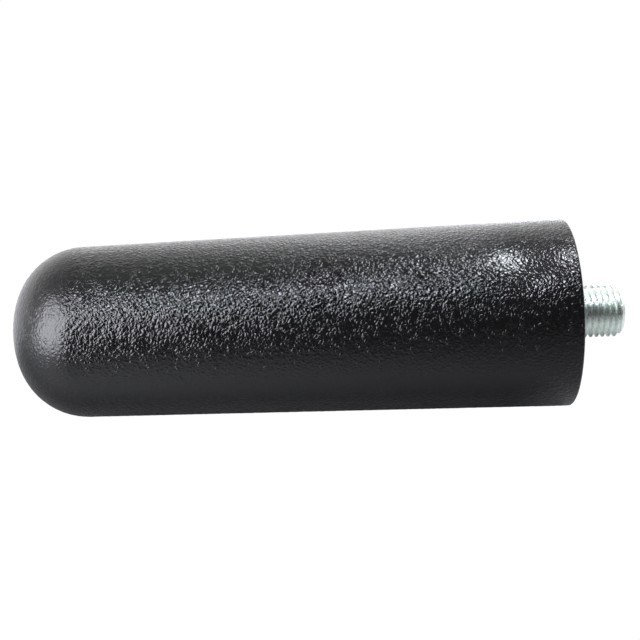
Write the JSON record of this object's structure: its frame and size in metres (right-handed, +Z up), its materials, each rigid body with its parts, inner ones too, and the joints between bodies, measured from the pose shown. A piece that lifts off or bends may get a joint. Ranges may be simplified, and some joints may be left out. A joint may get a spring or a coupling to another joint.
{
  "type": "revolving winch handle grip",
  "caption": "Tapered round hand grip with a domed end that turns freely on a steel spindle, whose short threaded stud screws into a crank arm.",
  "frame": {"origin": "on the spindle's axis at the collar's front face, where the crank arm seats and the threaded stud starts", "axes": "+X along the spindle, towards the stud's tip; the grip lies along -X with its domed end furthest; +Z up"},
  "size_m": [0.1103, 0.034, 0.034],
  "materials": {
    "grained_plastic": "hard black moulded plastic with a coarse pebbled leather grain, satin gloss",
    "core_plastic": "plain black moulded plastic with fine turned marks",
    "zinc_steel": "bright zinc plate",
    "acetal": "natural acetal, turned",
    "washer_steel": "stamped stainless steel",
    "spring_steel": "black phosphated spring steel",
    "seal_rubber": "black nitrile rubber"
  },
  "bodies": {
    "axle": {"spindle": "zinc_steel", "front_washer": "washer_steel", "rear_washer": "washer_steel", "retaining_ring": "spring_steel"},
    "grip": {"grip_shell": "grained_plastic", "bearing_core": "core_plastic", "front_bush": "acetal", "rear_bush": "acetal", "seal_ring": "seal_rubber"}
  },
  "joints": [
    {"name": "grip_spin", "type": "hinge", "parent": "axle", "child": "grip", "pos_m": [0, 0, 0], "axis": [1, 0, 0], "continuous": true}
  ]
}
